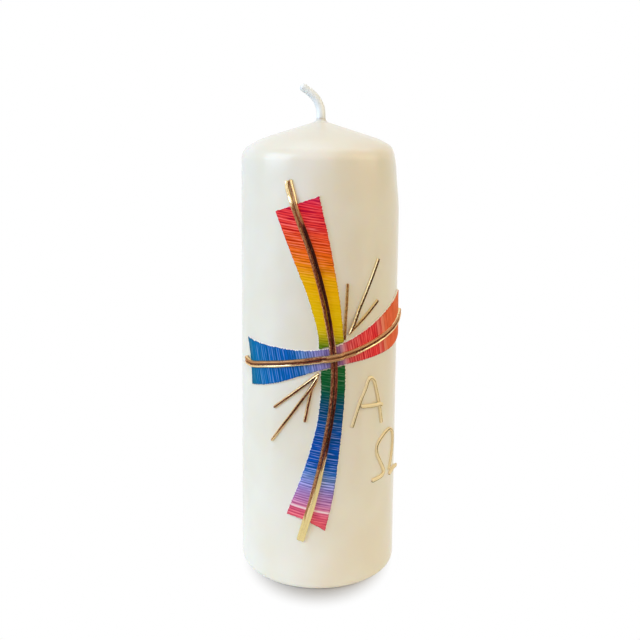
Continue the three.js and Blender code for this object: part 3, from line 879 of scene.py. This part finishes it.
def flatness(share, start, end, amount):
    """How flat a strip is, 0 to 1, when shares of its length at both ends are pressed."""
    pressed = 1 - smoothstep(share, start, start + NEAR_FADE)
    if end:
        pressed = pressed + FAR_PRESSED * smoothstep(share, 1 - end - FAR_FADE, 1 - end)
    return np.clip(amount * pressed, 0, 1)


print("flatness check:", flatness(0.15, 0.13, 0.07, 0.97).round(2))

# %% Strip builder
FEWEST_ROWS = 12
RAMP, RAMP_STARTS = 3.2, 0.4  # mm over which a strip climbs, and how far before it does
SECTION = np.radians(np.linspace(-4, 184, 17))
HALF_ROUND = 0.8  # half the way round the section, in widths
HIGHER = 0.15  # mm added to every strip's height
SWAY, WIDER = 0.05, 0.1  # mm off its line, and share that it widens where it is flat


def strip_piece(name, line, width, height, material, over, zones, seed, flat=None, bead=0.0,
                lift=None):
    """A half-round strip on the wax along a flat line. Returns the piece and its cover.

    zones are rows of (share of the length, middle, half width, tone) of the painted dark band:
    painted reflection of the dark room and painted shade.
    flat is (share pressed flat at the start, at the end, how flat).
    """
    length = steps(line).sum()
    rows = max(FEWEST_ROWS, int(length / STRIP_STEP))
    path = even(line, rows)
    floor = np.zeros(rows)
    for cover in over:
        gap, top = cover(path)
        floor = np.maximum(floor, top * (1 - smoothstep(gap - width / 2 - RAMP_STARTS, 0, RAMP)))
    if lift:
        floor = floor + lift(np.linspace(0, 1, rows))
    t = np.linspace(0, length, rows)
    swell = thickness(t, bead, seed)
    flattened = flatness(t / length, *flat) if flat else 0 * t
    side = ripple(rows, STRIP_STEP, 6.0, seed + 23) * SWAY
    across = (width / 2) * np.cos(SECTION)[None] * (swell * (1 + WIDER * flattened))[:, None]
    arch = np.maximum(np.sin(SECTION), 0)[None] ** (1 - flattened)[:, None]
    up = (height + HIGHER) * arch * swell[:, None]
    laid = path[:, None] + rightwards(path)[:, None] * (across + side[:, None])[..., None]
    rings = wrap(laid, floor[:, None] + up + np.where(arch > 0, 0, SUNK))
    share = np.linspace(1, -1, len(SECTION))[None]
    at, *zone_values = np.transpose(zones)
    middle, half, tone = (np.interp(t / length, at, values)[:, None] for values in zone_values)
    maps = {"lay": (t[:, None], share * width * HALF_ROUND),
            "band": ((share - middle) / half, tone)}
    maps = {key: np.stack(np.broadcast_arrays(*pair), -1) for key, pair in maps.items()}
    piece = ring_skin(name, rings, maps, [material], (0,), sharp=60)
    return piece, strip_cover(path, floor + height + HIGHER, width)


print("section points:", len(SECTION))

# %% The pair along the upright, and the pair along the arm
STRAND_WIDTH, STRAND_HEIGHT, STRAND_GAP = 1.45, 1.0, 0.12
UPRIGHT_LINE = [
    (-13.2, -80), (-8.2, -62), (-3, -37.6), (-0.1, -17.3), (0.2, -3), (-0.8, 6), (-4.6, 26.2),
    (-9.5, 43.9), (-15.1, 59.2), (-17.6, 67.4), (-19.1, 72.8)]
ARM_LINE = [
    (-44.6, -5.9), (-38.4, -6.6), (-29.3, -5), (-13.3, -2.1), (-1.2, -0.1), (7.4, 1.4), (15, 3.7),
    (24.7, 6.6), (35, 9.8), (45, 13.4)]
SPLAY, SPLAY_LENGTH = 0.5, 9.0  # how far the left strip parts from the other near the top
PAIR_POINTS = 400


def beside(points, offset, splay):
    """A line beside a smooth line, to its right, parted by splay near its far end."""
    line = even(centripetal(points), PAIR_POINTS)
    left_over = np.clip(steps(line).sum() * np.linspace(1, 0, PAIR_POINTS) / SPLAY_LENGTH, 0, 1)
    return line + rightwards(line) * (offset - splay * np.sin(pi * left_over))[:, None]


print("upright pair:", round(steps(centripetal(UPRIGHT_LINE)).sum(), 1), "mm")

# %% Painted dark bands of the two pairs: painted reflection and painted shade
# rows of: share of the length, middle, half width, tone from tan to near black
UPRIGHT_LEFT_ZONES = (
    (0, 0.2, 0.02, -1), (0.06, 0.2, 0.02, -1), (0.085, -0.4, 0.4, -0.2), (0.15, -0.05, 0.5, 0.0),
    (0.2, 0.1, 0.66, 0.1), (0.24, 0.18, 0.7, 0.25), (0.5, 0.2, 0.72, 0.35), (0.56, 0.3, 0.62, 0.4),
    (0.7, 0.28, 0.64, 0.4), (0.8, 0.25, 0.62, 0.2), (0.9, 0.2, 0.55, 0.0), (0.93, 0.2, 0.5, 0.1),
    (0.94, 0.5, 0.03, 0.1), (1, 0.5, 0.03, 0))
UPRIGHT_RIGHT_ZONES = (
    (0, -0.3, 0.02, -1), (0.19, -0.3, 0.02, -1), (0.24, -0.2, 0.3, 0.2), (0.275, 0.1, 0.62, 0.9),
    (0.36, 0.08, 0.62, 0.9), (0.42, 0.05, 0.6, 0.5), (0.5, 0.05, 0.58, 0.45),
    (0.535, -0.25, 0.45, 0.5), (0.59, -0.15, 0.5, 0.7), (0.63, 0.05, 0.62, 0.9),
    (0.7, 0.1, 0.66, 1), (0.86, 0.2, 0.7, 1.1), (0.89, 0.1, 0.7, 0.2), (0.93, 0, 0.55, -0.2),
    (0.96, -0.2, 0.35, 0), (1, -0.2, 0.3, 0.3))
ARM_UPPER_ZONES = (
    (0, 0.1, 0.5, -0.3), (0.06, 0.12, 0.7, -0.25), (0.3, 0.12, 0.74, -0.15),
    (0.36, 0.15, 0.75, 0.05), (0.44, 0.2, 0.65, 0.4), (0.455, 0.2, 0.6, 0.5),
    (0.465, 0.1, 0.6, -0.4), (0.515, 0.1, 0.6, -0.4), (0.54, 0.12, 0.66, -0.3),
    (0.7, 0.12, 0.7, -0.15), (0.92, 0.12, 0.7, -0.15), (1, 0.1, 0.5, -0.3))
ARM_LOWER_ZONES = (
    (0, -0.3, 0.1, 0), (0.06, -0.5, 0.25, 0.1), (0.28, -0.6, 0.3, 0.2), (0.32, -0.52, 0.36, 0.4),
    (0.43, -0.5, 0.38, 0.5), (0.455, -0.3, 0.5, -0.55), (0.505, -0.3, 0.5, -0.55),
    (0.54, -0.2, 0.45, -0.3), (0.57, -0.25, 0.48, -0.2), (0.6, -0.6, 0.34, 0.3),
    (0.92, -0.6, 0.3, 0.4), (1, -0.7, 0.1, 0))
print("rows of the bands:", len(UPRIGHT_LEFT_ZONES), len(UPRIGHT_RIGHT_ZONES))

# %% Lay the two pairs, the arm's over the upright's
aside = (STRAND_WIDTH + STRAND_GAP) / 2
below = list(sheets)
for name, points, offset, splay, zones, flat, seed in (
    ("upright_left", UPRIGHT_LINE, -aside, SPLAY, UPRIGHT_LEFT_ZONES, (0.13, 0.07, 0.97), 31),
    ("upright_right", UPRIGHT_LINE, aside, 0.0, UPRIGHT_RIGHT_ZONES, (0.17, 0.05, 0.97), 32),
    ("arm_upper", ARM_LINE, -aside, 0.0, ARM_UPPER_ZONES, None, 33),
    ("arm_lower", ARM_LINE, aside, 0.0, ARM_LOWER_ZONES, None, 34),
):
    upright = name.startswith("upright")
    strand, cover = strip_piece(
        "gold_" + name + "_strand", beside(points, offset, splay), STRAND_WIDTH, STRAND_HEIGHT,
        bright_foil, sheets if upright else below, zones, seed, flat)
    if upright:
        below.append(cover)
    seat(strand, "gold_strip", "gold_" + name)

# %% [markdown]
# ## Rays
# The rays are single strips, thinner than the pair and finely beaded, so their reflections break
# up into grains. Three start from the corner above the arm and three from the one below it. The
# middle ray of each three was laid last and lies over the other two where they meet.

# %% Rays
RAY_WIDTH, RAY_HEIGHT, RAY_BEAD = 1.3, 0.9, 0.08
upper_root = np.array([5.30, 6.68])  # the inner corners that the rays start from
lower_root = np.array([-6.10, -6.46])
# The rows at the end of each ray give its painted dark band (share of the length, middle, half
# width, tone): a brown core of painted reflection of the dark room and painted shade.
RAYS = [
    ("ray_upper_1", upper_root, [(-0.6, 0.5), (0.45, 23.9)], 41,
     ((0, -0.1, 0.3, 0.5), (0.05, -0.1, 0.5, 0.5), (0.12, -0.1, 0.5, 0.15), (1, -0.1, 0.45, 0.15))),
    ("ray_upper_3", upper_root, [(1.25, 2.75), (15.7, 15.5)], 43,
     ((0, -0.2, 0.15, 0), (0.2, -0.2, 0.25, 0.5), (1, -0.15, 0.32, 0.8))),
    ("ray_upper_2", upper_root, [(1.15, 3.1), (15.8, 33.2)], 42,
     ((0, -0.05, 0.25, 0.4), (0.15, -0.05, 0.4, 0.7), (1, -0.05, 0.42, 0.9))),
    ("ray_lower_1", lower_root, [(0.3, -0.35), (-19.4, -16.65)], 44,
     ((0, -0.4, 0.25, 0.5), (0.12, -0.3, 0.46, 0.8), (0.3, -0.2, 0.4, 0.75), (1, -0.1, 0.3, 0.4))),
    ("ray_lower_3", lower_root, [(-0.5, -2.9), (-2.7, -7.5), (-3.3, -9.7), (-5.6, -21.3)], 46,
     ((0, -0.2, 0.05, 0), (0.3, -0.2, 0.2, 0.2), (0.4, -0.25, 0.38, 0.6), (1, -0.2, 0.36, 0.5))),
    ("ray_lower_2", lower_root, [(-0.1, -1.3), (-3.3, -6.8), (-20.6, -31.4)], 45,
     ((0, 0, 0.1, 0.2), (0.06, -0.1, 0.3, 0.5), (0.35, -0.15, 0.42, 0.75), (0.7, -0.15, 0.34, 0.6),
      (0.92, -0.1, 0.2, 0.2), (1, 0, 0.1, 0))),
]
laid = []
for name, root, points, seed, zones in RAYS:
    over = laid[-2:] if name.endswith("2") else ()
    ray, cover = strip_piece(
        name + "_strip", centripetal([root + np.array(p) for p in points]), RAY_WIDTH, RAY_HEIGHT,
        bright_foil if "lower" in name else ray_foil, over, zones, seed, bead=RAY_BEAD)
    laid.append(cover)
    seat(ray, "gold_strip", name)

# %% [markdown]
# ## Letters
# Alpha and omega are bent from the same kind of strip in a paler gold, and pressed nearly flat.
# The alpha's legs are one strip bent over at the top, and its bar hooks over the right leg. The
# omega's right foot is a short strip of its own whose loose end stands off the wax.

# %% Lines and bands of the letters
LETTER_WIDTH, LETTER_HEIGHT, LETTER_BEAD = 1.45, 0.6, 0.04
LETTER_FLAT = (1.0, 0, 0.75)
ALPHA = [
    (8.5, -30.9), (11.9, -21.2), (15, -14.9), (16.6, -11.3), (18, -10.9), (19.6, -12.4),
    (20.9, -15.9), (22.9, -22.5), (25, -32.2)]
ALPHA_BAR = [(12.4, -22.1), (17.95, -23.1), (23.08, -23.1), (24.43, -24)]
OMEGA = [
    (19.3, -56.9), (22.8, -56.8), (26.2, -56.4), (27.5, -55.2), (26.6, -52.9), (24.4, -49.4),
    (22.3, -45.6), (22.3, -42), (24.9, -39.3), (28.7, -37.6), (32.5, -37.4), (35.9, -39.6),
    (36.9, -43.9), (36, -48.6), (34.4, -52.6), (32.6, -56.3)]
OMEGA_FOOT = [(33, -58.3), (37.2, -57.7), (41.5, -58), (44.2, -58.4)]
FOOT_LIFT, LIFT_FROM = 0.7, 0.6  # mm that the loose end stands off, and where it begins to
# The letters' bands paint a thin dark line along one visible edge: painted shade and painted
# reflection.
LETTER_ZONES = ((0, 0.6, 0.2, 0.2), (1, 0.6, 0.2, 0.2))
ALPHA_ZONES = (
    (0, 0.27, 0.17, 0.9), (0.44, 0.25, 0.15, 0.7), (0.5, 0.1, 0.12, 0.3), (0.56, -0.1, 0.12, 0.4),
    (1, -0.1, 0.12, 0.3))
OMEGA_ZONES = (
    (0, 0.5, 0.2, 0.9), (0.08, 0.5, 0.16, 0.3), (0.34, 0.2, 0.12, 0.3), (0.4, -0.2, 0.17, 0.9),
    (0.58, -0.2, 0.17, 0.9), (0.64, 0.0, 0.12, 0.3), (1, 0.2, 0.12, 0.4))
print("line points:", len(ALPHA), len(OMEGA))

# %% Letters


def letter(name, points, seed, over=(), zones=LETTER_ZONES, lift=None):
    piece, cover = strip_piece(
        name + "_strip", centripetal(points), LETTER_WIDTH, LETTER_HEIGHT, pale_foil, over, zones,
        seed, LETTER_FLAT, LETTER_BEAD, lift)
    seat(piece, "pale_gold_strip", name)
    return cover


def off_the_wax(share):
    return FOOT_LIFT * smoothstep(share, LIFT_FROM, 1)


alpha_cover = letter("alpha_legs", ALPHA, 51, zones=ALPHA_ZONES)
letter("alpha_bar", ALPHA_BAR, 52, [alpha_cover])
letter("omega_bow", OMEGA, 53, zones=OMEGA_ZONES)
letter("omega_foot", OMEGA_FOOT, 54, lift=off_the_wax)

# %% [markdown]
# ## Floor, light and camera
# The candle stands on a white table in a white room. Where the camera, a mirror or a glass shows
# the table it is plain white, and under the candle a darker grey oval is painted as the contact
# shadow, on which the lamps' own shade also falls, so that it meets the white background without a
# line. For the light on the candle it is a plain table. A big cool lamp stands on the left, a
# weaker warm one on the right, and the room behind the camera is dark, as the reflections in the
# gold show.

# %% Floor
WHITE = (1, 1, 1, 1)
PAINTED_SHADOW_MIDDLE, PAINTED_SHADOW_SHAPE = (0, 0.0018, 0), (1, 0.746, 1)


def seen_ray(tree):
    """1 for rays that show a thing, straight or in a mirror or glass, and 0 for its light."""
    kinds = put("LightPath", tree=tree).outputs
    reflected = maths("MAXIMUM", kinds["Is Glossy Ray"], kinds["Is Transmission Ray"])
    return maths("MAXIMUM", kinds["Is Camera Ray"], reflected)


def either(factor, a, b):
    return put("MixShader", _0=factor, _1=a, _2=b).outputs[0]


def diffuse(tree, tint):
    return put("BsdfDiffuse", tree=tree, Color=tint).outputs[0]


bpy.ops.mesh.primitive_plane_add(size=8.0, location=(0, 0, 0))
floor = bpy.context.object
floor.name = "floor"
material, tree, shader = finish("white_table")
tree.nodes.remove(shader)
place = object_place(tree)
far = spread(from_zero(place), 0.22, 0.32)
table = diffuse(tree, blend(far, (0.9, 0.9, 0.9, 1), (0.3, 0.29, 0.28, 1)))
# Under the candle the camera sees a painted shadow: a grey of 0.42, which the lamps also shade,
# fading out into the white glow.
oval = put("Mapping", Vector=place, Location=PAINTED_SHADOW_MIDDLE, Scale=PAINTED_SHADOW_SHAPE)
out_of_painted_shadow = spread(from_zero(oval.outputs[0]), 0.0207, 0.0355)
glow = put("Emission", tree=tree, Color=WHITE, Strength=1.0).outputs[0]
shown = either(out_of_painted_shadow, diffuse(tree, (0.42, 0.41, 0.40, 1)), glow)
fill(tree.nodes["Material Output"], Surface=either(seen_ray(tree), table, shown))
floor.data.materials.append(material)
print("floor:", round(floor.dimensions.x, 1), "m wide")

# %% World: white where it is seen, a dim room where it lights
world = bpy.data.worlds.new("studio")
bpy.context.scene.world = world
world.use_nodes = True
tree = world.node_tree
backdrop = put("Background", tree=tree, Color=WHITE, Strength=1.0).outputs[0]
room = fill(tree.nodes["Background"], Color=(1.0, 0.8, 0.46, 1), Strength=0.385).outputs[0]
fill(tree.nodes["World Output"], Surface=either(seen_ray(tree), room, backdrop))
print("world:", world.name)

# %% Lamps


def lamp(name, place, target, size, power, tint):
    data = bpy.data.lights.new(name, "AREA")
    data.shape = "RECTANGLE"
    data.size, data.size_y = size
    data.energy = power
    data.color = tint
    light = new_object(name, data)
    light.location = place
    light.rotation_mode = "QUATERNION"
    light.rotation_quaternion = (Vector(target) - Vector(place)).to_track_quat("-Z", "Y")
    return light


lamp("key_left", (-0.95, -0.45, 0.55), (0, 0, 0.1), (0.8, 0.9), 10.2, (0.56, 0.755, 1.0))
lamp("fill_right", (0.9, -0.35, 0.5), (0, 0, 0.1), (0.6, 0.8), 2.9, (1.0, 0.86, 0.5))
lamp("top", (0.0, 0.2, 1.2), (0, 0, 0.1), (0.9, 0.9), 1.6, (0.4, 0.75, 1.0))
front = lamp("front", (0, -0.5, 0.55), (0, 0, 0.15), (0.35, 0.2), 0.86, (1.0, 0.82, 0.88))
front.visible_glossy = False  # it would show as a spot in the wax that the photo lacks
lamp("window", (0.51, 0.16, 0.92), (0.0165, -0.026, 0.19), (0.2, 0.03), 0.22, (1.0, 0.98, 0.94))
print("lamps:", ", ".join(light.name for light in bpy.data.lights))

# %% The dark room behind the camera, seen only in reflections
ROOM_NEAR, ROOM_FAR, ROOM_HEIGHT, ROOM_HALF_ANGLE, ROOM_STEPS = 0.135, 0.62, 0.10, 62, 25
ABOVE_FLOOR = 0.003
turns = np.radians(np.linspace(-ROOM_HALF_ANGLE, ROOM_HALF_ANGLE, ROOM_STEPS))
places = [(r * sin(turn), -r * cos(turn), z + ABOVE_FLOOR)
          for turn in turns for r, z in ((ROOM_NEAR, 0), (ROOM_FAR, 0), (ROOM_FAR, ROOM_HEIGHT))]
mesh = bpy.data.meshes.new("dark_room")
mesh.from_pydata(places, [], [
    (k, k + 3, k + 4, k + 1) for k in range(3 * ROOM_STEPS - 3) if k % 3 < 2])
dark_cloth = finish("dark_cloth", Base_Color=(0.13, 0.045, 0.032, 1), Roughness=0.9)[0]
dark_room = new_object("dark_room", mesh, dark_cloth)
for ray_kind in ("camera", "diffuse", "transmission", "volume_scatter", "shadow"):
    setattr(dark_room, "visible_" + ray_kind, False)
print("dark room:", len(mesh.polygons), "faces")

# %% Camera, fitted to the photo
PITCH, ROLL = radians(7.058), radians(0.474)
CAMERA_PLACE = (0.0, -0.3608, 0.1935)
camera = new_object("camera", bpy.data.cameras.new("camera"))
camera.data.sensor_width = 36.0
camera.data.lens = 45.64
camera.data.shift_y = -85 / 640  # the picture's middle lies 85 of its 640 pixels under the axis
ahead = Vector((0, cos(PITCH), -sin(PITCH)))
right = Vector((1, 0, 0))
up = right.cross(ahead)
turned_right = right * cos(ROLL) + up * sin(ROLL)
turned_up = up * cos(ROLL) - right * sin(ROLL)
turned = Matrix((turned_right, turned_up, -ahead)).transposed().to_4x4()
turned.translation = CAMERA_PLACE
camera.matrix_world = turned
bpy.context.scene.camera = camera
bpy.context.scene.view_settings.view_transform = "Standard"
print("camera:", camera.data.lens, "mm lens at", CAMERA_PLACE)
